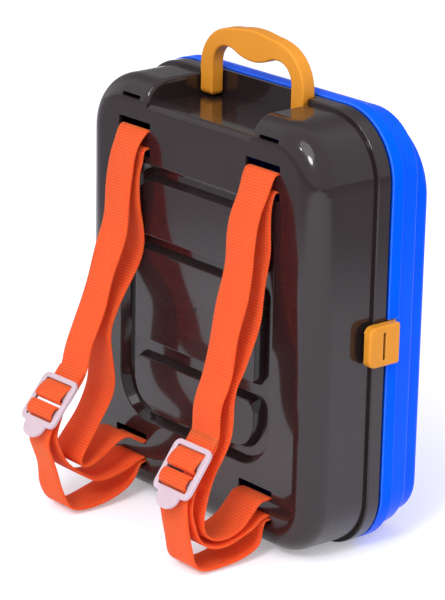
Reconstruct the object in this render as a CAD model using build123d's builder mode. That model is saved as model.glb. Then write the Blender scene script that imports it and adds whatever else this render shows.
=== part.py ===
from build123d import *
from math import atan2, cos, degrees, hypot, radians, sin, sqrt, tan
import os

os.makedirs("parts", exist_ok=True)

# Millimetres. +X is the hinge side, -X the latch side, +Y the strap side, +Z up.
# The origin lies on the underside of the back shell's rim band, in its middle.

# Back shell
WIDTH = 205.0  # across the rim band
HEIGHT = 250.0  # rim band, bottom to top
SHELL_DEPTH = 50.0  # seam to flat back
RIM_BAND = 9.0  # depth of the raised band beside the seam
RIM_STEP = 2.2  # how far the band stands out from the body
R_TOP = 38.0  # corner radius of the band, top
R_BOTTOM = 34.0  # corner radius of the band, bottom
DRAFT = 0.9  # mould draft of the body, degrees
BACK_ROUND = 14.0  # rounding between sides and flat back
WALL = 2.0
BAND_ROUND = 1.0  # outer edges of the two bands, away from the seam
SEAM_ROUND = 0.6  # edges of the two bands along the seam

# Relief pressed into the flat back, with three pads that stay level with it
RELIEF_HALF = 66.0
RELIEF_BOTTOM = 48.0
RELIEF_DOWN = 49.0  # its top edge below the shell's top
RELIEF_R = 26.0
RELIEF_DEPTH = 5.4
RELIEF_RUN = 3.2  # sideways run of the outer wall over the depth
RELIEF_ROUND = 0.8  # edges of the relief and of its pads
PAD_SIDE = 13.5  # relief's side to a pad's side
PAD_GAPS = (9.5, 11.4, 9.0, 9.3)  # below, between and above the pads
PAD_LOW_H = 28.5
PAD_TOP_H = 32.2
PAD_LOW_R = (16.0, 7.0)  # bottom and top corners of the lowest pad
PAD_MID_R = (3.0, 7.0)
PAD_TOP_R = (3.0, 14.0)
PAD_RUN = 2.6  # sideways run of a pad's wall over the depth
PIP_UP = 28.6  # moulding mark above the middle pad's lower edge
PIP_R = 1.4
PIP_H = 0.4

# Handle recess, open to the top and to the back
RECESS_HALF = 44.5
RECESS_DEPTH = 14.7
RECESS_WALL = 2.6  # left between the recess and the seam
RECESS_ROUND = 3.0  # rounding of its end walls into the back
LIP_ROUND = 4.0

# Strap anchors: an upper and a lower slot with a bar between, at four places
ANCHOR_X = 55.2
SLOT_W = 28.0
SLOT_H = 6.0
SLOT_R = 1.0
BAR_H = 7.8
TOP_BAR_DOWN = 35.7  # middle of the upper bars below the shell's top
LOW_BAR_Z = 29.0
SHOULDER_X = 59.0
SHOULDER_DOWN = 13.0  # small slots below the shell's top
SHOULDER_SLOT_W = 16.0
SHOULDER_SLOT_H = 2.2

# Feet under the body, level with the rim band
FOOT_X = 60.0
FOOT_W = 13.0
FOOT_L = 15.0
FOOT_IN = 19.0  # rear end of a foot from the flat back

# Lid
SEAM_GAP = 1.0
LID_PROUD = 0.8  # the lid's band beyond the rim band, sides and top
LID_BAND = 8.5
LID_STEP = 2.0  # band to second zone
LID_MID = 14.9  # depth of the second zone
LID_MID_IN = 4.6  # inset of the second zone at its front
LID_MID_ROUND = 3.0
TIER_DEPTH = 13.6  # front tier
TIER_IN = 8.0  # its inset from the band, sides and bottom
TIER_DOWN = 10.5  # its inset from the band, top
TIER_R_TOP = 43.0
TIER_R_BOTTOM = 25.0
TIER_RUN = 1.8  # sideways run of its wall over the depth
TIER_ROUND = 5.0
TONGUE_T = 1.5
TONGUE_LAP = 3.7  # how far the tongue enters the rim
TONGUE_GAP = 0.3

# Side hinge: two stations of three knuckles
HINGE_OUT = 4.3  # axis beyond the rim band
HINGE_Z = (60.0, 190.0)
KNUCKLE_R = 3.2
KNUCKLE_L = 9.0
KNUCKLE_GAP = 0.3
PIN_R = 1.25
FIT = 0.06  # radial clearance of a part that turns
SEAT = 0.02  # radial clearance of a pin where it is held

# Latch on the opposite side
LATCH_MID_Z = 125.4
LATCH_H = 23.4
LATCH_REACH = 21.9  # pivot to the end over the shell
LATCH_HEEL = 0.5  # pivot to the end over the lid
LATCH_FACE = 6.0  # outer face beyond the rim band
LATCH_CLEAR = 0.5  # inner face to the rim band
LATCH_R = 5.0  # corners over the shell
LATCH_LID_R = 1.6  # corners over the lid
LATCH_ROUND = 1.4
LATCH_PIVOT_IN = 1.0  # pivot inside the rim band's side
LATCH_PIVOT_BACK = 4.1  # pivot from the lid's seam edge
LATCH_KNUCKLE_R = 2.2
LATCH_PIN_R = 1.0
LATCH_PIN_SEAT = 1.5  # pin into each end of the pocket
LATCH_SLOT_AT = 11.2  # pivot to the middle of the slot
LATCH_SLOT_W = 2.1
LATCH_SLOT_L = 16.0
CATCH_W = 1.3  # rib on the rim band, seen through the slot
CATCH_H = 0.8
CATCH_GAP = 0.4
POCKET_GAP = 0.4  # latch to the pocket's ends
KNUCKLE_CLEAR = 0.4  # knuckle to the pocket's floor
HEEL_CLEAR = 0.8  # knuckle to the pocket's front
POCKET_WALL = 1.6

# Carrying handle
GRIP_GAP = 1.0  # handle to each end wall of the recess
GRIP_RISE = 39.3  # pivot to the top
GRIP_MID = 17.8  # height of the grip in its middle
GRIP_T = 8.9
GRIP_BACK = 0.95  # handle to the recess wall behind it
LEG_W = 10.2
LEG_FOOT = 4.9  # pivot to the lower end of a leg
CROWN_R = 62.0
SHOULDER_R = 30.0
INNER_R = 13.0
BELLY_R = 34.0
FOOT_R = 3.5
HEEL_R = 4.2
GRIP_ROUND = 1.2
PIVOT_UP = 5.6  # pivot above the recess floor
STUB_R = 2.4
STUB_IN = 1.6  # stub inside the recess's end wall

# Webbing and buckles
WEB_W = 25.0
WEB_T = 1.4
WEB_GAP = 0.3
WEB_TIGHT = 1.2  # bend of the webbing's middle round a bar
WEB_EASY = 6.0  # bend where the webbing leaves the buckle upwards
WEB_RUN = 7.0  # straight run above the buckle's top edge before that bend
UPPER_LEADS = (2.1, 2.7)  # where the webbing enters and leaves each anchor slot, out from the back
LOWER_LEADS = (1.7, 4.0)
TAIL_LEAD = 2.7
TAIL_GAP = 1.0  # between the two layers in a lower slot
BUCKLE_W = 33.0
BUCKLE_L = 29.0
BUCKLE_T = 2.4
BUCKLE_R = 4.5
BUCKLE_SIDE = 3.7
BUCKLE_BAR = 4.6
BUCKLE_END = 3.4  # lowest bar
BUCKLE_SLOT = 3.4
TAB_W = 18.0
TAB_L = 9.0
TAB_R = 7.5
BUCKLE_PLACES = {  # middle of the top edge out from the back, its share of the strap's height, and tilt
    "latch_side": (42.5, 0.232, 36.5),
    "hinge_side": (50.8, 0.2725, 39.5),
}

SEAM_Y = -RIM_BAND / 2
BACK_Y = SEAM_Y + SHELL_DEPTH
LID_Y = SEAM_Y - SEAM_GAP
RELIEF_TOP = HEIGHT - RELIEF_DOWN
PAD_HALF = RELIEF_HALF - PAD_SIDE
PAD_LOW = (RELIEF_BOTTOM + PAD_GAPS[0], RELIEF_BOTTOM + PAD_GAPS[0] + PAD_LOW_H)
PAD_TOP = (RELIEF_TOP - PAD_GAPS[3] - PAD_TOP_H, RELIEF_TOP - PAD_GAPS[3])
PAD_MID = (PAD_LOW[1] + PAD_GAPS[1], PAD_TOP[0] - PAD_GAPS[2])
PADS = ((PAD_LOW, PAD_LOW_R), (PAD_MID, PAD_MID_R), (PAD_TOP, PAD_TOP_R))
RECESS_FLOOR = HEIGHT - RECESS_DEPTH
RECESS_BACK = SEAM_Y + RECESS_WALL
TOP_BAR_Z = HEIGHT - TOP_BAR_DOWN
HINGE_X = WIDTH / 2 + HINGE_OUT
HINGE_Y = (SEAM_Y + LID_Y) / 2
LATCH_X = WIDTH / 2 - LATCH_PIVOT_IN
LATCH_PIVOT_Y = LID_Y - LATCH_PIVOT_BACK
LATCH_Y = (LATCH_PIVOT_Y - LATCH_HEEL, LATCH_PIVOT_Y + LATCH_REACH)
LATCH_Z = (LATCH_MID_Z - LATCH_H / 2, LATCH_MID_Z + LATCH_H / 2)
LATCH_SLOT_Y = LATCH_PIVOT_Y + LATCH_SLOT_AT
GRIP_HALF = RECESS_HALF - GRIP_GAP
GRIP_Y = RECESS_BACK + GRIP_BACK + GRIP_T / 2
PIVOT_Z = RECESS_FLOOR + PIVOT_UP
GRIP_TOP = PIVOT_Z + GRIP_RISE
GRIP_BOTTOM = PIVOT_Z - LEG_FOOT
SEAM_PLANE = Plane((0, SEAM_Y, 0), x_dir=(-1, 0, 0), z_dir=(0, 1, 0))
BACK_PLANE = Plane((0, BACK_Y, 0), x_dir=(1, 0, 0), z_dir=(0, -1, 0))
LID_PLANE = Plane((0, LID_Y, 0), x_dir=(1, 0, 0), z_dir=(0, -1, 0))


def outline(half, bottom, top, r_bottom, r_top):
    """Upright rectangle with one corner radius at the bottom and one at the top."""
    with BuildSketch(mode=Mode.PRIVATE) as shape:
        with Locations((0, (bottom + top) / 2)):
            Rectangle(2 * half, top - bottom)
        fillet(shape.vertices().group_by(Axis.Y)[-1], r_top)
        fillet(shape.vertices().group_by(Axis.Y)[0], r_bottom)
    return shape.sketch


def rim_outline(inset):
    """Outline of the rim band, drawn in by an inset."""
    return outline(WIDTH / 2 - inset, inset, HEIGHT - inset, R_BOTTOM - inset, R_TOP - inset)


def lid_outline(inset):
    """Outline of the lid's band, level with the rim at the bottom, drawn in by an inset."""
    out = LID_PROUD - inset
    return outline(WIDTH / 2 + out, inset, HEIGHT + out, R_BOTTOM + out, R_TOP + out)


def tier_outline(inset):
    """Outline of the lid's front tier at its root, drawn in by an inset."""
    side = TIER_IN - LID_PROUD + inset
    top = HEIGHT + LID_PROUD - TIER_DOWN - inset
    return outline(WIDTH / 2 - side, TIER_IN + inset, top, TIER_R_BOTTOM - inset, TIER_R_TOP - inset)


def block(x, y, z, mode=Mode.ADD):
    """Box between two values of each coordinate."""
    with Locations((sum(x) / 2, sum(y) / 2, sum(z) / 2)):
        Box(abs(x[1] - x[0]), abs(y[1] - y[0]), abs(z[1] - z[0]), mode=mode)


def recess(grow, rear):
    """Cut the handle recess, grown by a wall, from its rear plane out through the back."""
    lip_y = BACK_Y - LIP_ROUND
    lip_z = RECESS_FLOOR - LIP_ROUND
    floor_z = RECESS_FLOOR - grow
    with BuildSketch(Plane.YZ) as side:
        with BuildLine():
            CenterArc((lip_y, lip_z), LIP_ROUND - grow, 0, 90)
            Polyline((BACK_Y - grow, lip_z), (BACK_Y + 1, lip_z), (BACK_Y + 1, HEIGHT + 1),
                     (rear, HEIGHT + 1))
            Polyline((rear, HEIGHT + 1), (rear, floor_z), (lip_y, floor_z))
        make_face()
    extrude(side.sketch, amount=RECESS_HALF + grow, both=True, mode=Mode.SUBTRACT)


def knuckle(z, web_x, web_y):
    """Hinge knuckle round the hinge axis, with the web that joins it to a side wall."""
    with Locations((HINGE_X, HINGE_Y, z)):
        Cylinder(KNUCKLE_R, KNUCKLE_L)
    block((web_x, HINGE_X), web_y, (z - KNUCKLE_L / 2, z + KNUCKLE_L / 2))


def hinge_hole(z, radius):
    """Hole for a hinge pin through one station."""
    with Locations((HINGE_X, HINGE_Y, z)):
        Cylinder(radius, 3 * KNUCKLE_L + 4 * KNUCKLE_GAP, mode=Mode.SUBTRACT)


# Back shell: a drafted tray with a rim band, thin all over
relief_angle = degrees(atan2(RELIEF_RUN, RELIEF_DEPTH))
pad_angle = degrees(atan2(PAD_RUN, RELIEF_DEPTH))
recess_x = RECESS_HALF + WALL

with BuildPart() as relief:
    with BuildSketch(BACK_PLANE):
        add(outline(RELIEF_HALF, RELIEF_BOTTOM, RELIEF_TOP, RELIEF_R, RELIEF_R))
    extrude(amount=RELIEF_DEPTH, taper=relief_angle)
    for (low, high), (r_low, r_high) in PADS:
        with BuildSketch(BACK_PLANE):
            add(outline(PAD_HALF, low, high, r_low, r_high))
        extrude(amount=RELIEF_DEPTH, taper=-pad_angle, mode=Mode.SUBTRACT)

with BuildPart() as hollow:
    with BuildSketch(SEAM_PLANE):
        add(rim_outline(RIM_STEP + WALL))
    extrude(amount=SHELL_DEPTH - WALL, taper=DRAFT)
    fillet(hollow.faces().sort_by(Axis.Y)[-1].edges(), BACK_ROUND - WALL)
    with BuildSketch(SEAM_PLANE):
        add(rim_outline(WALL))
    extrude(amount=RIM_BAND - WALL)
    recess(WALL, SEAM_Y)
    # Backing of the relief, hollow again behind each pad
    with BuildSketch(BACK_PLANE.offset(WALL)):
        add(outline(RELIEF_HALF, RELIEF_BOTTOM, RELIEF_TOP, RELIEF_R, RELIEF_R))
    extrude(amount=RELIEF_DEPTH, taper=relief_angle, mode=Mode.SUBTRACT)
    for (low, high), (r_low, r_high) in PADS:
        with BuildSketch(BACK_PLANE.offset(WALL)):
            add(outline(PAD_HALF - WALL, low + WALL, high - WALL, r_low - WALL, r_high - WALL))
        extrude(amount=RELIEF_DEPTH, taper=-pad_angle)

foot_y = (BACK_Y - FOOT_IN - FOOT_L, BACK_Y - FOOT_IN)
catch_y = (LATCH_SLOT_Y - CATCH_W / 2, LATCH_SLOT_Y + CATCH_W / 2)
catch_half = LATCH_SLOT_L / 2 - 2 * CATCH_GAP

with BuildPart() as back_shell:
    with BuildSketch(SEAM_PLANE):
        add(rim_outline(RIM_STEP))
    extrude(amount=SHELL_DEPTH, taper=DRAFT)
    fillet(back_shell.faces().sort_by(Axis.Y)[-1].edges(), BACK_ROUND)
    # Relief, with soft edges round it and round each pad
    add(relief.part, mode=Mode.SUBTRACT)
    level = back_shell.faces().filter_by(Axis.Y).group_by(Axis.Y)[-1].sort_by(SortBy.AREA)
    fillet(level[-1].inner_wires().edges() + level[:-1].edges(), RELIEF_ROUND)
    # Recess, its end walls rounded over into the back
    block((-RECESS_HALF, RECESS_HALF), (RECESS_BACK, BACK_Y + 1), (RECESS_FLOOR, HEIGHT), Mode.SUBTRACT)
    ends = back_shell.faces().filter_by(Axis.X).edges()
    ends = ends.filter_by(lambda edge: edge.center().Z > RECESS_FLOOR + 1)
    ends = ends.filter_by(lambda edge: edge.center().Y > RECESS_BACK + 1)
    fillet(ends, RECESS_ROUND)
    # Rim band
    with BuildSketch(SEAM_PLANE):
        add(rim_outline(0))
    extrude(amount=RIM_BAND)
    fillet(back_shell.faces().sort_by(Axis.Y)[0].edges(), SEAM_ROUND)
    band_rear = back_shell.faces().filter_by(Axis.Y).sort_by(Axis.Y)[1]
    fillet(band_rear.outer_wire().edges(), BAND_ROUND)
    add(hollow.part, mode=Mode.SUBTRACT)
    recess(0, RECESS_BACK)
    with Locations((0, GRIP_Y, PIVOT_Z)):
        Cylinder(STUB_R + FIT, 2 * recess_x + 1, rotation=(0, 90, 0), mode=Mode.SUBTRACT)
    # Strap anchors
    with BuildSketch(BACK_PLANE):
        for bar_z in (TOP_BAR_Z, LOW_BAR_Z):
            for slot_z in (bar_z - (BAR_H + SLOT_H) / 2, bar_z + (BAR_H + SLOT_H) / 2):
                with Locations((-ANCHOR_X, slot_z), (ANCHOR_X, slot_z)):
                    RectangleRounded(SLOT_W, SLOT_H, SLOT_R)
    extrude(amount=WALL + 1, mode=Mode.SUBTRACT)
    # Small slots in the rounded shoulders
    with BuildSketch(BACK_PLANE):
        with Locations(*[(x, HEIGHT - SHOULDER_DOWN) for x in (-SHOULDER_X, SHOULDER_X)]):
            SlotOverall(SHOULDER_SLOT_W, SHOULDER_SLOT_H)
    extrude(amount=3 * WALL, mode=Mode.SUBTRACT)
    # Moulding mark
    with Locations((0, BACK_Y, PAD_MID[0] + PIP_UP)):
        Cylinder(PIP_R, 2 * PIP_H, rotation=(90, 0, 0))
        Cylinder(PIP_R / 2, 2 * PIP_H, rotation=(90, 0, 0), mode=Mode.SUBTRACT)
    for x in (-FOOT_X, FOOT_X):
        block((x - FOOT_W / 2, x + FOOT_W / 2), foot_y, (0, RIM_STEP + WALL))
    block(
        (-WIDTH / 2 - CATCH_H, -WIDTH / 2 + WALL / 2), catch_y,
        (LATCH_MID_Z - catch_half, LATCH_MID_Z + catch_half),
    )
    # Outer knuckles of the hinge
    for z in HINGE_Z:
        for z_mid in (z - KNUCKLE_L - KNUCKLE_GAP, z + KNUCKLE_L + KNUCKLE_GAP):
            knuckle(z_mid, WIDTH / 2 - WALL / 2, (SEAM_Y, HINGE_Y + KNUCKLE_R))
        hinge_hole(z, PIN_R + SEAT)
back_shell.part.label = "back_shell"
export_step(back_shell.part, "parts/back_shell.step")

# Lid: band, drafted second zone and front tier
mid_angle = degrees(atan2(LID_MID_IN - LID_STEP, LID_MID))
tier_angle = degrees(atan2(TIER_RUN, TIER_DEPTH))
tongue_in = WALL + TONGUE_GAP
pocket_z = (LATCH_Z[0] - POCKET_GAP, LATCH_Z[1] + POCKET_GAP)
boss = LATCH_PIN_SEAT + POCKET_WALL / 2
boss_z = (pocket_z[0] - boss, pocket_z[1] + boss)
pocket_floor = -LATCH_X + LATCH_KNUCKLE_R + KNUCKLE_CLEAR
pocket_front = LATCH_PIVOT_Y - LATCH_KNUCKLE_R - HEEL_CLEAR
band_x = -WIDTH / 2 - LID_PROUD
step_x = band_x + LID_STEP

with BuildPart() as lid_hollow:
    with BuildSketch(LID_PLANE):
        add(lid_outline(WALL))
    extrude(amount=LID_BAND - WALL)
    with BuildSketch(LID_PLANE.offset(LID_BAND - WALL)):
        add(lid_outline(LID_STEP + WALL))
    extrude(amount=LID_MID, taper=mid_angle)
    with BuildSketch(LID_PLANE.offset(LID_BAND + LID_MID - WALL)):
        add(tier_outline(WALL))
    extrude(amount=TIER_DEPTH, taper=tier_angle)
    fillet(lid_hollow.faces().sort_by(Axis.Y)[0].edges(), TIER_ROUND - WALL)

with BuildPart() as lid_shell:
    with BuildSketch(LID_PLANE.offset(LID_BAND)):
        add(lid_outline(LID_STEP))
    extrude(amount=LID_MID, taper=mid_angle)
    fillet(lid_shell.faces().sort_by(Axis.Y)[0].edges(), LID_MID_ROUND)
    with BuildSketch(LID_PLANE):
        add(lid_outline(0))
    extrude(amount=LID_BAND)
    fillet(lid_shell.faces().filter_by(Axis.Y).sort_by(Axis.Y)[1].outer_wire().edges(), BAND_ROUND)
    fillet(lid_shell.faces().sort_by(Axis.Y)[-1].edges(), SEAM_ROUND)
    with BuildSketch(LID_PLANE.offset(LID_BAND + LID_MID)):
        add(tier_outline(0))
    extrude(amount=TIER_DEPTH, taper=tier_angle)
    fillet(lid_shell.faces().sort_by(Axis.Y)[0].edges(), TIER_ROUND)
    add(lid_hollow.part, mode=Mode.SUBTRACT)
    # Tongue that enters the rim, on a ledge inside the band, open at the handle recess
    with BuildSketch(LID_PLANE):
        add(lid_outline(WALL / 2))
        add(rim_outline(tongue_in + TONGUE_T), mode=Mode.SUBTRACT)
    extrude(amount=WALL)
    with BuildSketch(LID_PLANE):
        add(rim_outline(tongue_in))
        add(rim_outline(tongue_in + TONGUE_T), mode=Mode.SUBTRACT)
        with Locations((0, HEIGHT)):
            Rectangle(2 * (recess_x + 1), HEIGHT / 2, mode=Mode.SUBTRACT)
    extrude(amount=-SEAM_GAP - TONGUE_LAP)
    # Pocket of the latch in the side of the band, with bosses for its pin
    block((step_x - WALL / 4, pocket_floor + POCKET_WALL), (LID_Y - LID_BAND + SEAM_ROUND, LID_Y), boss_z)
    block((step_x + WALL / 2, pocket_floor + POCKET_WALL), (pocket_front - WALL, LID_Y), boss_z)
    block((band_x - 1, pocket_floor), (pocket_front, LID_Y), pocket_z, Mode.SUBTRACT)
    block((band_x - 1, step_x), (LID_Y - LID_BAND, LID_Y), pocket_z, Mode.SUBTRACT)
    with Locations((-LATCH_X, LATCH_PIVOT_Y, LATCH_MID_Z)):
        Cylinder(LATCH_PIN_R + SEAT, pocket_z[1] - pocket_z[0] + 2 * LATCH_PIN_SEAT, mode=Mode.SUBTRACT)
    # Middle knuckles of the hinge
    for z in HINGE_Z:
        knuckle(z, WIDTH / 2 + LID_PROUD - WALL / 2, (HINGE_Y - KNUCKLE_R, LID_Y))
        hinge_hole(z, PIN_R + FIT)
lid_shell.part.label = "lid_shell"
export_step(lid_shell.part, "parts/lid_shell.step")

# Pins
for name, z in zip(("hinge_pin_lower", "hinge_pin_upper"), HINGE_Z):
    with BuildPart() as hinge_pin:
        with Locations((HINGE_X, HINGE_Y, z)):
            Cylinder(PIN_R, 3 * KNUCKLE_L + 2 * KNUCKLE_GAP)
        chamfer(hinge_pin.edges().filter_by(GeomType.CIRCLE), PIN_R / 5)
    hinge_pin.part.label = name
    export_step(hinge_pin.part, "parts/" + name + ".step")

with BuildPart() as latch_pin:
    with Locations((-LATCH_X, LATCH_PIVOT_Y, LATCH_MID_Z)):
        Cylinder(LATCH_PIN_R, pocket_z[1] - pocket_z[0] + 2 * LATCH_PIN_SEAT - KNUCKLE_GAP)
latch_pin.part.label = "latch_pin"
export_step(latch_pin.part, "parts/latch_pin.step")

# Latch: a plate over the seam, with a knuckle at the lid's end
latch_inner = -WIDTH / 2 - LATCH_CLEAR
latch_outer = -WIDTH / 2 - LATCH_FACE

with BuildPart() as latch:
    with BuildSketch(Plane.YZ.offset(latch_outer)) as plate:
        with Locations((sum(LATCH_Y) / 2, LATCH_MID_Z)):
            Rectangle(LATCH_REACH + LATCH_HEEL, LATCH_H)
        fillet(plate.vertices().group_by(Axis.X)[-1], LATCH_R)
        fillet(plate.vertices().group_by(Axis.X)[0], LATCH_LID_R)
    extrude(amount=LATCH_FACE - LATCH_CLEAR)
    fillet(latch.faces().sort_by(Axis.X)[0].edges(), LATCH_ROUND)
    with Locations((-LATCH_X, LATCH_PIVOT_Y, LATCH_MID_Z)):
        Cylinder(LATCH_KNUCKLE_R, LATCH_H)
    block((latch_inner - 1, -LATCH_X),
          (LATCH_PIVOT_Y - LATCH_HEEL, LATCH_PIVOT_Y + LATCH_KNUCKLE_R), LATCH_Z)
    # Slot in the face and, behind it, the channel that passes the catch rib
    with BuildSketch(Plane.YZ.offset(latch_outer)):
        with Locations((LATCH_SLOT_Y, LATCH_MID_Z)):
            SlotOverall(LATCH_SLOT_L, LATCH_SLOT_W, rotation=90)
    extrude(amount=LATCH_FACE, mode=Mode.SUBTRACT)
    channel_x = (-WIDTH / 2 - CATCH_H - CATCH_GAP, latch_inner)
    channel_y = (catch_y[0] - CATCH_GAP, LATCH_Y[1])
    channel_z = (LATCH_MID_Z - LATCH_SLOT_L / 2, LATCH_MID_Z + LATCH_SLOT_L / 2)
    block(channel_x, channel_y, channel_z, Mode.SUBTRACT)
    with Locations((-LATCH_X, LATCH_PIVOT_Y, LATCH_MID_Z)):
        Cylinder(LATCH_PIN_R + FIT, LATCH_H, mode=Mode.SUBTRACT)
latch.part.label = "latch"
export_step(latch.part, "parts/latch.step")

# Handle: tangent arcs outside and a belly under the grip
crown_z = GRIP_TOP - CROWN_R
shoulder_x = GRIP_HALF - SHOULDER_R
shoulder_z = crown_z + sqrt((CROWN_R - SHOULDER_R) ** 2 - shoulder_x**2)
crown_share = CROWN_R / (CROWN_R - SHOULDER_R)
crown_end = (shoulder_x * crown_share, crown_z + (shoulder_z - crown_z) * crown_share)
shoulder_turn = atan2(crown_end[1] - shoulder_z, crown_end[0] - shoulder_x) / 2
shoulder_mid = (shoulder_x + SHOULDER_R * cos(shoulder_turn), shoulder_z + SHOULDER_R * sin(shoulder_turn))
belly_top = GRIP_TOP - GRIP_MID
belly_z = belly_top + BELLY_R
inner_half = GRIP_HALF - LEG_W
inner_x = inner_half - INNER_R
inner_z = belly_z - sqrt((INNER_R + BELLY_R) ** 2 - inner_x**2)
inner_share = INNER_R / (INNER_R + BELLY_R)
belly_end = (inner_x * (1 - inner_share), inner_z + (belly_z - inner_z) * inner_share)
inner_turn = atan2(belly_end[1] - inner_z, belly_end[0] - inner_x) / 2
inner_mid = (inner_x + INNER_R * cos(inner_turn), inner_z + INNER_R * sin(inner_turn))

with BuildPart() as handle:
    with BuildSketch(Plane((0, GRIP_Y, 0), x_dir=(1, 0, 0), z_dir=(0, -1, 0))) as grip:
        with BuildLine():
            Line((inner_half, GRIP_BOTTOM), (GRIP_HALF, GRIP_BOTTOM))
            Line((GRIP_HALF, GRIP_BOTTOM), (GRIP_HALF, shoulder_z))
            ThreePointArc((GRIP_HALF, shoulder_z), shoulder_mid, crown_end)
            ThreePointArc(crown_end, (0, GRIP_TOP), (-crown_end[0], crown_end[1]))
            ThreePointArc((-crown_end[0], crown_end[1]), (-shoulder_mid[0], shoulder_mid[1]),
                          (-GRIP_HALF, shoulder_z))
            Line((-GRIP_HALF, shoulder_z), (-GRIP_HALF, GRIP_BOTTOM))
            Line((-GRIP_HALF, GRIP_BOTTOM), (-inner_half, GRIP_BOTTOM))
            Line((-inner_half, GRIP_BOTTOM), (-inner_half, inner_z))
            ThreePointArc((-inner_half, inner_z), (-inner_mid[0], inner_mid[1]),
                          (-belly_end[0], belly_end[1]))
            ThreePointArc((-belly_end[0], belly_end[1]), (0, belly_top), belly_end)
            ThreePointArc(belly_end, inner_mid, (inner_half, inner_z))
            Line((inner_half, inner_z), (inner_half, GRIP_BOTTOM))
        make_face()
        fillet(grip.vertices().group_by(Axis.Y)[0], FOOT_R)
    extrude(amount=GRIP_T / 2, both=True)
    fillet(handle.faces().filter_by(Axis.Y).edges(), GRIP_ROUND)
    with BuildSketch(Plane.YZ) as side:
        with Locations((GRIP_Y, (GRIP_BOTTOM + GRIP_TOP + 1) / 2)):
            Rectangle(GRIP_T, GRIP_TOP + 1 - GRIP_BOTTOM)
        fillet(side.vertices().group_by(Axis.Y)[0], HEEL_R)
    extrude(amount=GRIP_HALF + 1, both=True, mode=Mode.INTERSECT)
    # Stubs that turn in the recess's end walls
    stub = RECESS_HALF + STUB_IN - GRIP_HALF + LEG_W / 2
    with Locations([(side * (GRIP_HALF - LEG_W / 2 + stub / 2), GRIP_Y, PIVOT_Z) for side in (-1, 1)]):
        Cylinder(STUB_R, stub, rotation=(0, 90, 0))
handle.part.label = "handle"
export_step(handle.part, "parts/handle.step")


# Buckles: a flat frame with two inner bars and a tab, places given down its length
upper_bar = (BUCKLE_BAR + BUCKLE_SLOT, 2 * BUCKLE_BAR + BUCKLE_SLOT)
lower_end = BUCKLE_L - BUCKLE_END - BUCKLE_SLOT
lower_bar = (lower_end - BUCKLE_BAR, lower_end)


def buckle_plane(x, top, tilt):
    """Plane of a buckle: local X across, local Y down its length, normal away from the back."""
    normal = (0, cos(radians(tilt)), sin(radians(tilt)))
    return Plane((x, top[0], top[1]), x_dir=(1, 0, 0), z_dir=normal)


def buckle(plane):
    """Frame, bars and tab, in the open part."""
    inner = BUCKLE_W - 2 * BUCKLE_SIDE
    with BuildSketch(plane) as frame:
        with Locations((0, BUCKLE_L / 2)):
            RectangleRounded(BUCKLE_W, BUCKLE_L, BUCKLE_R)
        with Locations((0, BUCKLE_L + (TAB_L - TAB_R) / 2)):
            RectangleRounded(TAB_W, TAB_L + TAB_R, TAB_R)
        for low, high in (
            (BUCKLE_BAR, upper_bar[0]),
            (upper_bar[1], lower_bar[0]),
            (lower_bar[1], lower_bar[1] + BUCKLE_SLOT),
        ):
            with Locations((0, (low + high) / 2)):
                Rectangle(inner, high - low, mode=Mode.SUBTRACT)
    extrude(frame.sketch, amount=BUCKLE_T / 2, both=True)


# Webbing: one flat band each, laid along its middle line and seen from the side
def in_buckle(top, tilt, along, out):
    """Y and Z of a point down the length of a buckle and out from its middle plane."""
    tilt = radians(tilt)
    return top[0] + along * sin(tilt) + out * cos(tilt), top[1] - along * cos(tilt) + out * sin(tilt)


def strap_height(share):
    """Height of a share of the way from the lower bar up to the upper bar."""
    return LOW_BAR_Z + share * (TOP_BAR_Z - LOW_BAR_Z)


def hanging(points):
    """Y and Z of points given out from the back and by their share of the strap's height."""
    return [(BACK_Y + out, strap_height(share)) for out, share in points]


def bend_radii(path):
    """Radius at each inner point: as large as its runs allow, unless the point states one."""
    radii = []
    for before, here, after in zip(path, path[1:], path[2:]):
        into = (here[0] - before[0], here[1] - before[1])
        out = (after[0] - here[0], after[1] - here[1])
        turn = abs(atan2(into[0] * out[1] - into[1] * out[0], into[0] * out[0] + into[1] * out[1]))
        room = 0.45 * min(hypot(*into), hypot(*out)) / tan(turn / 2)
        radii.append(min(room, here[2]) if len(here) > 2 else room)
    return radii


def webbing(x, path):
    """Flat band of webbing round a path of Y and Z points, in the open part."""
    with BuildSketch(Plane.YZ.offset(x - WEB_W / 2)) as band:
        with BuildLine():
            FilletPolyline([point[:2] for point in path], radius=bend_radii(path))
        trace(line_width=WEB_T)
    extrude(band.sketch, amount=WEB_W)


off_bar = WEB_GAP + WEB_T / 2
front = BUCKLE_T / 2 + off_bar
rear = -front
deep = rear - WEB_T - WEB_GAP
behind_bar = BACK_Y - WALL - off_bar
bar_reach = BAR_H / 2 + off_bar
tail_z = LOW_BAR_Z - bar_reach - WEB_T - TAIL_GAP


def round_anchor(bar_z, lead, trail):
    """Loop of webbing down behind an anchor bar, between two points out from the back."""
    top, bottom = bar_z + bar_reach, bar_z - bar_reach
    return [
        (BACK_Y + lead, top), (behind_bar, top, WEB_TIGHT),
        (behind_bar, bottom, WEB_TIGHT), (BACK_Y + trail, bottom),
    ]


def buckle_loops(top, tilt):
    """Loops on a buckle's two bars: the start of the webbing, and its way back through the buckle."""
    upper = (
        (upper_bar[0] - off_bar, rear), (upper_bar[0] - off_bar, front),
        (upper_bar[1] + off_bar, front), (upper_bar[1] + off_bar, deep),
    )
    lower = (
        (lower_bar[0] - off_bar, deep), (lower_bar[0] - off_bar, front),
        (lower_bar[1] + off_bar, front), (lower_bar[1] + off_bar, rear),
    )
    start = [in_buckle(top, tilt, -BUCKLE_BAR, rear)]
    start += [in_buckle(top, tilt, *point) + (WEB_TIGHT,) for point in upper]
    start.append(in_buckle(top, tilt, -WEB_RUN, deep) + (WEB_EASY,))
    return start, [in_buckle(top, tilt, *point) + (WEB_TIGHT,) for point in lower]


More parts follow.
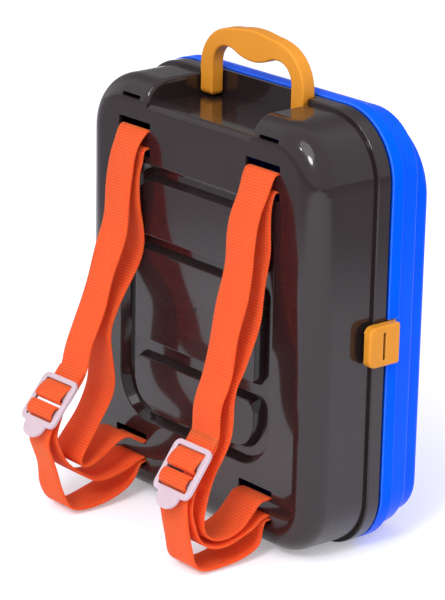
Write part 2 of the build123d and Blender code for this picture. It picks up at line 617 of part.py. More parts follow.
def strap_path(top, tilt, outer, inner, back, tail):
    """Whole path: up to the upper anchor, down to the lower one, up through the buckle, and the tail."""
    start, through = buckle_loops(top, tilt)
    path = start + hanging(outer)
    path += round_anchor(TOP_BAR_Z, *UPPER_LEADS) + hanging(inner)
    path += round_anchor(LOW_BAR_Z, *LOWER_LEADS) + hanging(back)
    path += through + hanging(tail)
    return path + [(BACK_Y + TAIL_LEAD, tail_z), (BACK_Y - WALL / 2, tail_z)]


LATCH_SIDE = (
    [(35.8, 0.351), (28.5, 0.434), (22.3, 0.594), (15.3, 0.739), (14.0, 0.831), (11.8, 0.901), (5.5, 0.978)],
    [(4.7, 0.863), (3.7, 0.777), (8.0, 0.664), (9.9, 0.572), (19.0, 0.459), (26.7, 0.399), (27.7, 0.275),
     (32.0, 0.210), (40.0, 0.140), (46.5, 0.065), (47.5, -0.005), (41.0, -0.050), (29.5, -0.062),
     (18.6, -0.043), (11.3, -0.002), (6.3, 0.025)],
    [(9.5, -0.051), (16.5, -0.065), (29.5, -0.085), (40.5, -0.077), (48.3, -0.045), (52.3, 0.011),
     (55.1, 0.067)],
    [(58.1, 0.081), (56.1, 0.005), (52.5, -0.065), (51.0, -0.113), (44.0, -0.141), (28.0, -0.139),
     (12.5, -0.122), (5.5, -0.110), (4.1, -0.076)],
)
HINGE_SIDE = (
    [(41.1, 0.345), (36.5, 0.407), (27.7, 0.507), (19.8, 0.653), (12.9, 0.766), (9.7, 0.863), (5.5, 0.975)],
    [(3.7, 0.869), (1.5, 0.756), (3.3, 0.653), (14.8, 0.529), (27.1, 0.421), (23.7, 0.324), (21.7, 0.232),
     (29.1, 0.146), (40.0, 0.078), (47.1, 0.030), (44.5, 0.000), (38.0, -0.003), (28.2, 0.018),
     (20.9, 0.047), (14.9, 0.062), (8.5, 0.057)],
    [(9.5, -0.044), (20.5, -0.060), (33.5, -0.064), (45.5, -0.024), (55.5, 0.024), (60.9, 0.081),
     (63.5, 0.126)],
    [(68.1, 0.097), (65.5, 0.051), (61.7, -0.008), (58.5, -0.078), (51.5, -0.130), (41.5, -0.138),
     (28.0, -0.127), (12.5, -0.110), (5.9, -0.089)],
)
for name, x, lie in (("latch_side", -ANCHOR_X, LATCH_SIDE), ("hinge_side", ANCHOR_X, HINGE_SIDE)):
    out, share, tilt = BUCKLE_PLACES[name]
    top = (BACK_Y + out, strap_height(share))
    with BuildPart() as buckle_part:
        buckle(buckle_plane(x, top, tilt))
    buckle_part.part.label = "buckle_" + name
    export_step(buckle_part.part, "parts/buckle_" + name + ".step")
    with BuildPart() as strap:
        webbing(x, strap_path(top, tilt, *lie))
    strap.part.label = "strap_" + name
    export_step(strap.part, "parts/strap_" + name + ".step")
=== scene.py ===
import math

import bpy
import numpy as np
from mathutils import Matrix, Vector


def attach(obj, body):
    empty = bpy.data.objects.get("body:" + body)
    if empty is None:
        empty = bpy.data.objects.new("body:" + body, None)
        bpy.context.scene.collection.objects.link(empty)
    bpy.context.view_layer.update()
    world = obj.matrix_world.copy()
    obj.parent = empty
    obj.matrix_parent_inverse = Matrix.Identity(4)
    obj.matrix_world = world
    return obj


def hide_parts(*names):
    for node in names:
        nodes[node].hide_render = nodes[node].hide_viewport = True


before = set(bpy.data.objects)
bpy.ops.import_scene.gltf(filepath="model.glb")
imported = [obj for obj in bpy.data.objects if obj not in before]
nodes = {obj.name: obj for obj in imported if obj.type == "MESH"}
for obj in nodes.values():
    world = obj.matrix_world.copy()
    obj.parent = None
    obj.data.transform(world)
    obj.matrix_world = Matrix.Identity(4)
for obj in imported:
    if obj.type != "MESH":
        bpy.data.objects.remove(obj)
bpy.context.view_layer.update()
scene = bpy.context.scene
MM = 0.001


# Node helpers

class Graph:
    """A material's node tree, with short calls to add and link nodes.

    In a keyword, a leading underscore marks a node's own setting and a double one stands for a space.
    """

    def __init__(self, name):
        self.mat = bpy.data.materials.new(name)
        self.mat.use_nodes = True
        self.tree = self.mat.node_tree
        self.shader = self.tree.nodes["Principled BSDF"]

    def node(self, kind, **inputs):
        n = self.tree.nodes.new(kind)
        for key, value in inputs.items():
            if key.startswith("_"):
                setattr(n, key[1:], value)
            elif isinstance(value, bpy.types.NodeSocket):
                self.tree.links.new(value, n.inputs[key.replace("__", " ")])
            else:
                n.inputs[key.replace("__", " ")].default_value = value
        return n

    def math(self, op, a, b=0.5, clamp=False):
        n = self.tree.nodes.new("ShaderNodeMath")
        n.operation = op
        n.use_clamp = clamp
        for i, value in enumerate((a, b)):
            if isinstance(value, bpy.types.NodeSocket):
                self.tree.links.new(value, n.inputs[i])
            else:
                n.inputs[i].default_value = value
        return n.outputs[0]

    def noise(self, vector, scale, detail=3.0, rough=0.5):
        n = self.node("ShaderNodeTexNoise", Vector=vector, Scale=scale, Detail=detail, Roughness=rough)
        return n.outputs["Fac"]

    def mix(self, fac, a, b):
        n = self.tree.nodes.new("ShaderNodeMix")
        n.data_type = "RGBA"
        for i, value in ((0, fac), (6, a), (7, b)):
            if isinstance(value, bpy.types.NodeSocket):
                self.tree.links.new(value, n.inputs[i])
            else:
                n.inputs[i].default_value = value
        return n.outputs[2]

    def span(self, value, low, high, to_low, to_high):
        n = self.tree.nodes.new("ShaderNodeMapRange")
        self.tree.links.new(value, n.inputs[0])
        for i, v in enumerate((low, high, to_low, to_high)):
            n.inputs[i + 1].default_value = v
        return n.outputs[0]

    def set(self, **inputs):
        for key, value in inputs.items():
            socket = self.shader.inputs[key.replace("__", " ")]
            if isinstance(value, bpy.types.NodeSocket):
                self.tree.links.new(value, socket)
            else:
                socket.default_value = value


def rgb(r, g, b):
    return (r, g, b, 1.0)


def shade(color, k):
    return (color[0] * k, color[1] * k, color[2] * k, 1.0)


def plastic(name, color, rough, peel=0.06, wear=0.12, subsurface=0.0, edge=0.0005, gloss=0.5,
            coat=0.0, tint=(1, 1, 1), hollow_shade=0.85, edge_highlight=0.0, edge_highlight_color=(1, 1, 1), scuffed=0.0):
    """Moulded plastic: faint flow mottling, handling haze, fine scratches, orange peel, soft edges.

    Slots and grooves darken with painted shade, and edges lighten with a painted highlight of a given
    colour; the clear coat is worn off below the height scuffed.
    """
    g = Graph(name)
    co = g.node("ShaderNodeTexCoord").outputs["Object"]
    flow = g.noise(co, 18.0, 4.0)
    fine = g.noise(co, 900.0, 2.0)
    haze = g.noise(co, 45.0, 5.0, 0.65)
    stretched = g.node("ShaderNodeMapping", Vector=co)
    stretched.inputs["Scale"].default_value = (60.0, 60.0, 900.0)
    scratch = g.noise(stretched.outputs[0], 1.0, 2.0)
    lines = g.span(scratch, 0.66, 0.72, 0.0, 1.0)
    mottled = g.mix(g.span(flow, 0.3, 0.7, 0.0, 1.0), shade(color, 0.93), shade(color, 1.06))
    worn = g.mix(g.math("MULTIPLY", lines, wear * 0.5), mottled, shade(color, 1.35))
    # Painted shade: ambient occlusion darkens the colour in slots, grooves and corners.
    open_air = g.node("ShaderNodeAmbientOcclusion", Distance=0.0028)
    open_air.samples = 6
    hollow_shade_mask = g.span(open_air.outputs["AO"], 0.25, 0.75, 1.0, 0.0)
    body = g.mix(g.math("MULTIPLY", hollow_shade_mask, hollow_shade), worn, shade(color, 0.12))
    rough_haze = g.span(haze, 0.35, 0.75, rough * 0.85, rough * 1.35)
    g.set(Roughness=g.math("ADD", rough_haze, g.math("MULTIPLY", lines, wear * 0.6)))
    g.set(Specular__IOR__Level=gloss, Specular__Tint=(*tint, 1.0))
    g.set(Coat__Weight=coat, Coat__Roughness=0.07, Coat__IOR=1.42)
    if scuffed:
        above_floor = g.node("ShaderNodeSeparateXYZ", Vector=co).outputs[2]
        g.set(Coat__Weight=g.span(above_floor, 0.0, scuffed, 0.15 * coat, coat))
    if subsurface:
        g.set(Subsurface__Weight=subsurface, Subsurface__Radius=(0.004, 0.0035, 0.004),
              Subsurface__Scale=1.0)
    height = g.math("ADD", g.math("MULTIPLY", fine, 0.3), g.math("MULTIPLY", flow, 1.6))
    bump = g.node("ShaderNodeBump", Strength=peel, Distance=0.0006, Height=height)
    if edge:
        soft_edge = g.node("ShaderNodeBevel", Radius=edge)
        soft_edge.samples = 6
        g.tree.links.new(soft_edge.outputs[0], bump.inputs["Normal"])
        # Painted highlight: along edges, where the rounded normal bends from the face, the colour
        # lightens towards the edge colour.
        face = g.node("ShaderNodeNewGeometry").outputs["Normal"]
        bend = g.node("ShaderNodeVectorMath", _operation="DOT_PRODUCT", Vector=face)
        g.tree.links.new(soft_edge.outputs[0], bend.inputs[1])
        body = g.mix(g.span(bend.outputs["Value"], 0.93, 0.996, edge_highlight, 0.0), body, rgb(*edge_highlight_color))
    g.set(Base__Color=body)
    g.set(Normal=bump.outputs[0])
    return g.mat


def steel(name):
    """Drawn wire with fine lines along the pin."""
    g = Graph(name)
    co = g.node("ShaderNodeTexCoord").outputs["Object"]
    drawn = g.node("ShaderNodeMapping", Vector=co)
    drawn.inputs["Scale"].default_value = (3000.0, 3000.0, 60.0)
    lines = g.noise(drawn.outputs[0], 1.0, 3.0)
    g.set(Base__Color=g.mix(lines, rgb(0.42, 0.42, 0.43), rgb(0.66, 0.66, 0.68)), Metallic=1.0)
    g.set(Roughness=g.span(lines, 0.2, 0.8, 0.28, 0.5))
    bump = g.node("ShaderNodeBump", Strength=0.2, Distance=0.0001, Height=lines)
    g.set(Normal=bump.outputs[0])
    return g.mat


def woven(name, lit, valley_shade, pitch):
    """Ribbed webbing. UV holds the place on the band in metres: U across, V along."""
    g = Graph(name)
    uv = g.node("ShaderNodeTexCoord").outputs["UV"]
    parts = g.node("ShaderNodeSeparateXYZ", Vector=uv)
    u, v = parts.outputs[0], parts.outputs[1]
    wobble = g.math("MULTIPLY", g.math("SUBTRACT", g.noise(uv, 90.0, 2.0), 0.5), 0.0007)
    along = g.math("MULTIPLY", g.math("ADD", v, wobble), 2.0 * math.pi / pitch)
    rib = g.math("MULTIPLY", g.math("ADD", g.math("COSINE", along), 1.0), 0.5)
    over = g.math("SINE", g.math("MULTIPLY", u, 2.0 * math.pi / YARN))
    yarn = g.math("MULTIPLY", g.math("ADD", over, 1.0), 0.5)
    fuzz = g.noise(uv, 2600.0, 3.0)
    tone = g.noise(uv, 120.0, 3.0)
    # Painted shade: the rib valleys and the gaps between yarns darken towards the shaded colour.
    body = g.mix(g.span(rib, 0.0, 0.6, 0.0, 1.0), valley_shade, lit)
    body = g.mix(g.math("MULTIPLY", g.span(yarn, 0.0, 0.35, 1.0, 0.0), 0.22), body, valley_shade)
    body = g.mix(g.span(tone, 0.35, 0.7, 0.0, 0.22), body, shade(lit, 0.8))
    g.set(Base__Color=g.mix(g.span(fuzz, 0.55, 0.8, 0.0, 0.25), body, shade(lit, 1.25)))
    g.set(Roughness=g.span(fuzz, 0.2, 0.8, 0.62, 0.85), Specular__IOR__Level=0.2, Sheen__Weight=0.12)
    g.set(Sheen__Roughness=0.5, Sheen__Tint=(1.0, 0.55, 0.30, 1.0))
    g.set(Subsurface__Weight=0.8, Subsurface__Radius=(0.006, 0.0014, 0.0006), Subsurface__Scale=1.0)
    height = g.math("ADD", g.math("MULTIPLY", yarn, 0.25), g.math("MULTIPLY", fuzz, 0.35))
    height = g.math("ADD", height, g.math("MULTIPLY", rib, 0.9))
    bump = g.node("ShaderNodeBump", Strength=0.3, Distance=0.0003, Height=height)
    g.set(Normal=bump.outputs[0])
    return g.mat


# Camera, fitted to the photograph

AZ, EL, ROLL = 0.867461, 0.316294, 0.020376
DISTANCE = 1.607542
TARGET = Vector((0.024846, 0.003833, 0.117113))
FOCAL_PX, PHOTO_PX = 2798.61, 600.0  # focal length and the photograph's long side
SENSOR = 36.0  # mm

back = Vector((-math.sin(AZ) * math.cos(EL), math.cos(AZ) * math.cos(EL), math.sin(EL)))
right = Vector((-math.cos(AZ), -math.sin(AZ), 0.0))
up = back.cross(right)
cam_right = right * math.cos(ROLL) + up * math.sin(ROLL)
cam_up = up * math.cos(ROLL) - right * math.sin(ROLL)
eye = TARGET + back * DISTANCE
camera = bpy.data.objects.new("camera", bpy.data.cameras.new("camera"))
camera.data.lens = FOCAL_PX * SENSOR / PHOTO_PX
camera.data.clip_end = 20.0
axes = Matrix((cam_right, cam_up, back)).transposed().to_4x4()
camera.matrix_world = Matrix.Translation(eye) @ axes
scene.collection.objects.link(camera)
scene.camera = camera

# Materials

RIB = 0.00168  # pitch of the ribs along the webbing
YARN = 0.0009  # pitch of the yarns across it
# These plastics darken their hollows with painted shade, and the lid and the fitting lighten their
# edges with a painted highlight.
SHELL = plastic("shell", (0.018, 0.0113, 0.0118), 0.28, peel=0.03, wear=0.10, edge=0.0,
                gloss=0.10, coat=1.0, hollow_shade=0.10, scuffed=0.024)
LID = plastic("lid", (0.0, 0.105, 0.97), 0.2, peel=0.04, wear=0.06, edge=0.0007, gloss=0.06,
              tint=(0.02, 0.30, 1.0), edge_highlight=1.0, edge_highlight_color=(0.28, 0.55, 1.0))
AMBER = plastic("fitting", (0.72, 0.28, 0.024), 0.34, peel=0.05, wear=0.08, gloss=0.2,
                edge_highlight=0.8, edge_highlight_color=(1.0, 0.58, 0.16))
WHITE = plastic("buckle", (0.60, 0.475, 0.53), 0.34, peel=0.08, wear=0.06, subsurface=0.3,
                edge=0.0006, gloss=0.3)
STEEL = steel("pin")
# The webbing's second colour is the painted shade of its rib valleys.
WEB = woven("webbing", rgb(0.94, 0.112, 0.023), rgb(0.80, 0.062, 0.011), RIB)

for name, mat in (
    ("back_shell", SHELL), ("lid_shell", LID), ("latch", AMBER),
    ("latch_pin", STEEL), ("hinge_pin_lower", STEEL), ("hinge_pin_upper", STEEL),
):
    nodes[name].material_slots[0].material = mat

# Handle, with its shoulders filled out

SHOULDER = Vector((0.0135, 0.2472))  # centre of a shoulder's arc, out from the middle and up
CORE_R = 0.021  # the arm's inner side, which stays
FULL_R = 0.028  # from here outwards the fill is whole
FILL = 0.0052  # twice the fill on the diagonal

filled = nodes["handle"].data.copy()
for vertex in filled.vertices:
    side = math.copysign(1.0, vertex.co.x)
    arm = Vector((abs(vertex.co.x), vertex.co.z)) - SHOULDER
    if arm.x > 0.0 and arm.y > 0.0:
        reach = min(1.0, max(0.0, (arm.length - CORE_R) / (FULL_R - CORE_R)))
        push = arm.normalized() * FILL * reach * arm.x * arm.y / arm.length_squared
        vertex.co.x += side * push.x
        vertex.co.z += push.y
filled.materials.clear()
filled.materials.append(AMBER)
grip = bpy.data.objects.new("carrying_handle", filled)
scene.collection.objects.link(grip)
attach(grip, "handle")
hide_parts("handle")

# Webbing

WEB_W = 25.0 * MM
WEB_T = 1.4 * MM
WEB_EDGE = 0.0007  # rounding of the webbing's edges
WEB_STEP = 0.0004  # length between two rows of its mesh
SWAY = 0.0004  # sideways waviness
SWAY_STEP = 0.0083
TWISTS = (1.6, 0.0061, 0.0), (1.2, 0.0107, 2.0)  # degrees, step and start of each slight twist


def spline(points, per=24):
    """Quadratic B-spline through the midpoints of the given rows, open at both ends."""
    p = np.array(points, float)
    p = np.vstack([2 * p[0] - p[1], p, 2 * p[-1] - p[-2]])
    out = []
    for a, b, c in zip(p, p[1:], p[2:]):
        for t in np.linspace(0.0, 1.0, per, endpoint=False):
            out.append(0.5 * ((1 - t) ** 2 * a + (1 + 2 * t - 2 * t * t) * b + t * t * c))
    return np.array(out)


def even(path, step):
    """Rows at even steps of length along the first three columns."""
    seg = np.linalg.norm(np.diff(path[:, :3], axis=0), axis=1)
    s = np.concatenate([[0.0], np.cumsum(seg)])
    n = max(2, int(s[-1] / step))
    at = np.linspace(0.0, s[-1], n)
    return at, np.column_stack([np.interp(at, s, path[:, k]) for k in range(path.shape[1])])


def band(name, rows, out, mat):
    """Webbing along rows of x, y, z, turn towards the out direction and slack."""
    at, p = even(spline(rows), WEB_STEP)
    pos, turn, slack = p[:, :3], p[:, 3], p[:, 4]
    pos[:, 0] += slack * SWAY * np.sin(at / SWAY_STEP + 1.0)
    turn = turn + slack * sum(most * np.sin(at / step + start) for most, step, start in TWISTS)
    tangent = np.gradient(pos, axis=0)
    tangent /= np.linalg.norm(tangent, axis=1)[:, None]
    a = np.radians(turn)[:, None]
    across = np.array([[1.0, 0.0, 0.0]]) * np.cos(a) + np.array([out]) * np.sin(a)
    across -= (across * tangent).sum(1)[:, None] * tangent
    across /= np.linalg.norm(across, axis=1)[:, None]
    normal = np.cross(tangent, across)
    half_w, half_t = WEB_W / 2, WEB_T / 2
    section = [(-1 + k / 3, 1.0) for k in range(7)] + [(1.0, 0.0)]
    section += [(1 - k / 3, -1.0) for k in range(7)] + [(-1.0, 0.0)]
    verts, uvs = [], []
    for u, side in section:
        w = u * (half_w - (WEB_EDGE if side else 0.0))
        verts.append(pos + across * w + normal * half_t * side)
        uvs.append(u * half_w)
    verts = np.stack(verts, axis=1)
    rows_n, cols = verts.shape[:2]
    faces = []
    for r in range(rows_n - 1):
        for c in range(cols):
            d = (c + 1) % cols
            faces.append((r * cols + c, r * cols + d, (r + 1) * cols + d, (r + 1) * cols + c))
    faces.append(tuple(range(cols - 1, -1, -1)))
    faces.append(tuple((rows_n - 1) * cols + c for c in range(cols)))
    mesh = bpy.data.meshes.new(name)
    mesh.from_pydata(verts.reshape(-1, 3).tolist(), [], faces)
    mesh.flip_normals()
    layer = mesh.uv_layers.new(name="band")
    grid_u = np.tile(uvs, rows_n)
    grid_v = np.repeat(at, cols)
    index = np.zeros(len(mesh.loops), np.int32)
    mesh.loops.foreach_get("vertex_index", index)
    layer.data.foreach_set("uv", np.column_stack([grid_u[index], grid_v[index]]).ravel())
    mesh.polygons.foreach_set("use_smooth", [True] * len(mesh.polygons))
    mesh.materials.append(mat)
    obj = bpy.data.objects.new(name, mesh)
    scene.collection.objects.link(obj)
    return obj


# From here to the floor, sizes are in mm

def in_buckle(place, along, out, across=0.0):
    """Point down a buckle's length, out from its middle plane and across it."""
    x, y, z, tilt, turn = place
    t, r = math.radians(tilt), math.radians(turn)
    side, up = across * math.cos(r) - out * math.sin(r), across * math.sin(r) + out * math.cos(r)
    down, level = along * math.cos(t), along * math.sin(t)
    return x + side, y + level + up * math.cos(t), z - down + up * math.sin(t)


def run(points, start=0.0, end=0.0, slack=1.0):
    """Rows of x, y, z, turn, slack and corner: the turn goes evenly from start to end."""
    n = max(1, len(points) - 1)
    return [(*q[:3], start + (end - start) * i / n, slack, len(q) > 3) for i, q in enumerate(points)]


def corners(path):
    """Split each tight corner of a path into two close rows."""
    rows = []
    for i, row in enumerate(path):
        here = np.array(row[:5], float)
        if not row[5] or i in (0, len(path) - 1):
            rows.append(here)
            continue
        for other in (path[i - 1], path[i + 1]):
            way = np.array(other[:3], float) - here[:3]
            near = here.copy()
            near[:3] += way / np.linalg.norm(way) * TIGHT
            rows.append(near)
    return rows


BACK_Y, WALL = 45.5, 2.0  # the shell's flat back and its wall
LOW_BAR_Z, TOP_BAR_Z = 29.0, 214.3  # heights of the anchor bars
BAR_REACH = 4.9  # from a bar's height to the webbing over and under it
BEHIND_BAR = BACK_Y - WALL - 1.0
TIGHT = 0.9  # from a tight corner to the row on either side
UPPER_TRAIL = 2.7  # out from the back where the webbing comes out of a slot
LOWER_LEADS = (1.7, 4.0)  # the same into and out of the lower slots
TAIL_LEAD, TAIL_Z = 2.7, 21.7  # the tail's end under the lower bar

# Webbing round the buckle's two bars: places down the buckle and out from its middle plane
REAR, DEEP = -2.2, -3.9
UPPER = [(-4.6, REAR), (1.5, REAR), (3.4, -0.4), (6.4, 1.7), (10.2, 2.6), (13.2, 3.0), (14.3, 1.6),
         (14.1, DEEP), (4.0, DEEP), (-7.0, DEEP)]
LOWER = [(16.9, DEEP), (16.9, 0.4), (17.6, 2.4), (20.4, 2.9), (23.2, 2.6), (24.9, 1.0), (24.9, REAR)]


def hanging(x, points):
    """Points given out from the back and by their share of the strap's height."""
    return [(x, BACK_Y + out, LOW_BAR_Z + share * (TOP_BAR_Z - LOW_BAR_Z)) for out, share in points]


def round_anchor(x, bar_z, lead, trail):
    """Loop of webbing down behind an anchor bar, between two points out from the back."""
    top, bottom = bar_z + BAR_REACH, bar_z - BAR_REACH
    ends = (x, BACK_Y + lead, top), (x, BACK_Y + trail, bottom)
    return [ends[0], (x, BEHIND_BAR, top, 1), (x, BEHIND_BAR, bottom, 1), ends[1]]


# Each strap's outer run, inner run, rise to the buckle, and tail: out from the back, share of height
LATCH_SIDE = (
    [(35.8, 0.351), (28.5, 0.434), (22.3, 0.594), (15.3, 0.739), (14.0, 0.831), (11.8, 0.901),
     (5.5, 0.978)],
    [(4.7, 0.863), (3.7, 0.777), (8.0, 0.664), (9.9, 0.572), (19.0, 0.459), (26.7, 0.399),
     (27.7, 0.275), (32.0, 0.210), (40.0, 0.140), (46.5, 0.065), (47.5, -0.005), (41.0, -0.050),
     (29.5, -0.062), (18.6, -0.043), (11.3, -0.002), (6.3, 0.025)],
    [(9.5, -0.051), (16.5, -0.065), (29.5, -0.085), (40.5, -0.077), (48.3, -0.045), (52.3, 0.011),
     (55.1, 0.067)],
    [(58.1, 0.081), (57.1, 0.005), (53.8, -0.065), (51.6, -0.118), (44.0, -0.148), (28.0, -0.147),
     (12.5, -0.128), (5.5, -0.110), (4.1, -0.076)],
)
HINGE_SIDE = (
    [(39.6, 0.350), (35.8, 0.410), (27.4, 0.507), (19.2, 0.640), (12.8, 0.735), (11.6, 0.825),
     (9.6, 0.900), (8.2, 0.950), (5.4, 0.992)],
    [(3.2, 0.930), (5.8, 0.885), (6.0, 0.800), (2.6, 0.735), (1.2, 0.680), (3.8, 0.630), (12.2, 0.560),
     (19.2, 0.495), (26.1, 0.421), (23.7, 0.324), (21.7, 0.232), (29.1, 0.146), (40.0, 0.078),
     (47.1, 0.030), (44.5, 0.000), (38.0, -0.003), (28.2, 0.018), (20.9, 0.047), (14.9, 0.062),
     (8.5, 0.057)],
    [(9.5, -0.044), (20.5, -0.060), (33.5, -0.064), (45.5, -0.024), (55.5, 0.024), (60.9, 0.081),
     (63.5, 0.126)],
    [(67.2, 0.097), (64.3, 0.051), (60.3, -0.008), (57.6, -0.078), (51.5, -0.136), (41.5, -0.147),
     (28.0, -0.136), (12.5, -0.115), (5.9, -0.089)],
)


def strap(name, place, lie, turns, lead, node):
    """Webbing from its sewn end on the upper bar, over both anchors and back through the buckle."""
    x, tilt, turn = place[0], math.radians(place[3]), place[4]
    outer, inner, rise, tail = lie
    path = run([in_buckle(place, *q) for q in UPPER], turn, turn, 0.0)
    path += run(hanging(x, outer), turn, turns[0])
    path += run(round_anchor(x, TOP_BAR_Z, lead, UPPER_TRAIL), slack=0.0)
    path += run(hanging(x, inner), turns[1], turns[2])
    path += run(round_anchor(x, LOW_BAR_Z, *LOWER_LEADS), slack=0.0)
    path += run(hanging(x, rise), turns[3], turn, 0.6)
    path += run([in_buckle(place, *q) for q in LOWER], turn, turn, 0.0)
    path += run(hanging(x, tail[:3]), turn + turns[4], turn + turns[4])
    path += run(hanging(x, tail[3:]), turn, 0.0)
    path += run([(x, BACK_Y + TAIL_LEAD, TAIL_Z), (x, BACK_Y - WALL / 2, TAIL_Z)], slack=0.0)
    rows = corners(path)
    for row in rows:
        row[:3] *= MM
    piece = band(name, rows, (0.0, math.cos(tilt), math.sin(tilt)), WEB)
    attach(piece, "shell")
    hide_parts(node)


def outline(curve, points):
    """Closed loop of straight runs on a flat curve."""
    line = curve.splines.new("POLY")
    line.points.add(len(points) - 1)
    for point, (u, v) in zip(line.points, points):
        point.co = (u * MM, v * MM, 0.0, 1.0)
    line.use_cyclic_u = True


def rounded(left, right, low, high, radius, per=6):
    """Corner points of a rounded rectangle."""
    points = []
    for u, v, start in ((right, high, 0), (left, high, 90), (left, low, 180), (right, low, 270)):
        cu = u - radius if u == right else u + radius
        cv = v - radius if v == high else v + radius
        for k in range(per + 1):
            a = math.radians(start + 90 * k / per)
            points.append((cu + radius * math.cos(a), cv + radius * math.sin(a)))
    return points


FRAME_HALF, FRAME_TOP, FRAME_END, FRAME_R = 16.5, -0.6, 29.8, 4.5
TAB_END, TAB_HALF, TAB_R = 38.0, 9.0, 6.6
NECK_X, NECK_R = 10.6, 1.6  # hollow roundings between the frame and the tab
WINDOW_HALF, WINDOW_R = 12.7, 0.8
WINDOWS = (-5.6, -2.5), (-18.4, -12.4), (-26.4, -23.4)
MOULD_HALF, MOULD_EDGE = 0.65, 0.55  # half the flat thickness, and the rounding of all edges


def neck(x, start):
    """Quarter turn of a hollow rounding under the frame's end."""
    points = []
    for k in range(5):
        a = math.radians(start - 22.5 * k)
        points.append((x + NECK_R * math.cos(a), -FRAME_END - NECK_R + NECK_R * math.sin(a)))
    return points


def buckle(name, place, node):
    """Moulded ladder buckle: frame and tab in one outline with three windows, all edges rounded."""
    body = rounded(-FRAME_HALF, FRAME_HALF, -FRAME_END, -FRAME_TOP, FRAME_R)
    past_third = 3 * len(body) // 4
    shape = body[:past_third] + neck(-NECK_X, 90)
    for k in range(15):
        a = math.radians(186 + 12 * k)
        shape.append((TAB_HALF * math.cos(a), -(TAB_END - TAB_R) + TAB_R * math.sin(a)))
    shape += neck(NECK_X, 180) + body[past_third:]
    curve = bpy.data.curves.new(name, "CURVE")
    curve.dimensions = "2D"
    curve.fill_mode = "BOTH"
    outline(curve, shape)
    for low, high in WINDOWS:
        outline(curve, rounded(-WINDOW_HALF, WINDOW_HALF, low, high, WINDOW_R, 3))
    curve.extrude = MOULD_HALF * MM
    curve.bevel_depth = MOULD_EDGE * MM
    curve.bevel_resolution = 3
    curve.offset = -MOULD_EDGE * MM
    flat = bpy.data.objects.new(name + "_flat", curve)
    mesh = bpy.data.meshes.new_from_object(flat)
    bpy.data.objects.remove(flat)
    for vertex in mesh.vertices:
        u, v, w = vertex.co / MM
        vertex.co = Vector(in_buckle(place, -v, w, u)) * MM
    mesh.flip_normals()
    mesh.materials.append(WHITE)
    mesh.polygons.foreach_set("use_smooth", [True] * len(mesh.polygons))
    piece = bpy.data.objects.new(name, mesh)
    scene.collection.objects.link(piece)
    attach(piece, "shell")
    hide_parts(node)


# Buckle's place out from the back, share of height and tilt; its turn; the lead into the upper slot
for side, x, (out, share, tilt), turn, lead, lie, turns in (
    ("latch_side", -55.2, (43.2, 0.232, 36.5), -5.0, 2.1, LATCH_SIDE, (-3.0, 0.0, 0.0, 0.0, 0.0)),
    ("hinge_side", 55.2, (49.8, 0.277, 39.5), -4.5, 0.4, HINGE_SIDE, (-6.0, 0.0, 0.0, 0.0, -12.0)),
):
    place = (*hanging(x, [(out, share)])[0], tilt, turn)
    strap("webbing_" + side, place, lie, turns, lead, "strap_" + side)
    buckle("ladder_buckle_" + side, place, "buckle_" + side)

# Floor and light

ROOM_DARK = (0.72, -0.62, 0.31)  # unlit side of the studio
ROOM_LEVELS = (0.55, 0.95, 0.88, 0.25)  # where it starts and ends, light before and after
ROOM_COLOR = rgb(0.975, 0.955, 1.0)
FLOOR = 12.0  # half the floor's side
PALE_TO, DIM_FROM = 0.46, 0.66  # across the camera's view, where the mirrored floor falls dim
PALE, DIM = rgb(0.88, 0.88, 0.93), rgb(0.41, 0.40, 0.43)
PALE_GLOW, DIM_GLOW = rgb(0.98, 0.98, 1.0), rgb(0.3, 0.3, 0.32)
GLOW = 0.30
AIM = (0.0, 0.0, 0.12)

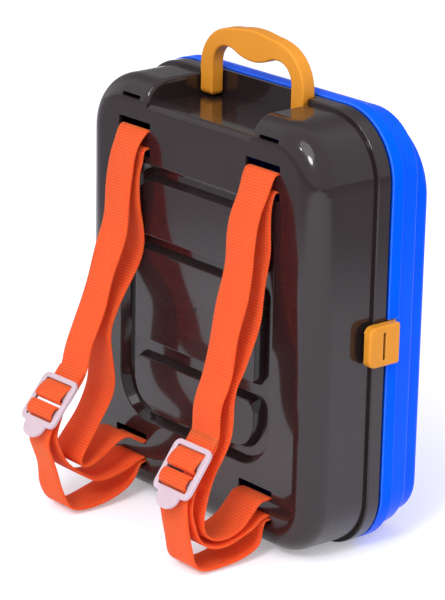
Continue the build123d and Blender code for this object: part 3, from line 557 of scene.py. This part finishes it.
floor_mesh = bpy.data.meshes.new("floor")
ends = [(-FLOOR, -FLOOR, 0), (FLOOR, -FLOOR, 0), (FLOOR, FLOOR, 0), (-FLOOR, FLOOR, 0)]
floor_mesh.from_pydata(ends, [], [(0, 1, 2, 3)])
floor = bpy.data.objects.new("floor", floor_mesh)
scene.collection.objects.link(floor)
pale = Graph("floor")
path = pale.node("ShaderNodeLightPath").outputs
seen = pale.math("ADD", path["Is Camera Ray"], path["Is Glossy Ray"])
seen = pale.math("ADD", seen, path["Is Transmission Ray"], clamp=True)
spot = pale.node("ShaderNodeTexCoord").outputs["Object"]
across = pale.node("ShaderNodeVectorMath", _operation="DOT_PRODUCT", Vector=spot)
across.inputs[1].default_value = right
far = pale.span(pale.math("ABSOLUTE", across.outputs["Value"]), PALE_TO, DIM_FROM, 0.0, 1.0)
far = pale.math("MULTIPLY", far, pale.math("SUBTRACT", 1.0, path["Is Camera Ray"]))
pale.set(Base__Color=pale.mix(far, PALE, DIM), Roughness=0.9, Specular__IOR__Level=0.0)
pale.set(Emission__Color=pale.mix(far, PALE_GLOW, DIM_GLOW))
pale.set(Emission__Strength=pale.math("MULTIPLY", seen, GLOW))
floor_mesh.materials.append(pale.mat)

world = bpy.data.worlds.new("studio")
world.use_nodes = True
sky = world.node_tree
direction = sky.nodes.new("ShaderNodeTexCoord").outputs["Generated"]
turned = sky.nodes.new("ShaderNodeVectorMath")
turned.operation = "DOT_PRODUCT"
turned.inputs[1].default_value = ROOM_DARK
sky.links.new(direction, turned.inputs[0])
level = sky.nodes.new("ShaderNodeMapRange")
level.interpolation_type = "SMOOTHSTEP"
for i, value in enumerate(ROOM_LEVELS):
    level.inputs[i + 1].default_value = value
sky.links.new(turned.outputs["Value"], level.inputs[0])
sky.links.new(level.outputs[0], sky.nodes["Background"].inputs[1])
sky.nodes["Background"].inputs[0].default_value = ROOM_COLOR
scene.world = world


def lamp(name, place, size, power, mirrored=True):
    """Round area lamp aimed at the case; the plastic shows it where it is mirrored."""
    data = bpy.data.lights.new(name, "AREA")
    data.shape = "ELLIPSE"
    data.size = data.size_y = size
    data.energy = power
    obj = bpy.data.objects.new(name, data)
    obj.visible_glossy = mirrored
    way = Vector(AIM) - Vector(place)
    obj.matrix_world = Matrix.Translation(place) @ way.to_track_quat("-Z", "Y").to_matrix().to_4x4()
    scene.collection.objects.link(obj)


lamp("key", (-0.68, 1.35, 1.25), 0.42, 10.5)
lamp("kicker", (0.05, 1.5, 1.45), 0.16, 2.0)
lamp("side", (-1.5, 0.1, 1.1), 1.1, 4.0, mirrored=False)
lamp("overhead", (-0.42, 1.05, 1.62), 1.1, 7.5)

scene.view_settings.view_transform = "Standard"
scene.view_settings.look = "None"
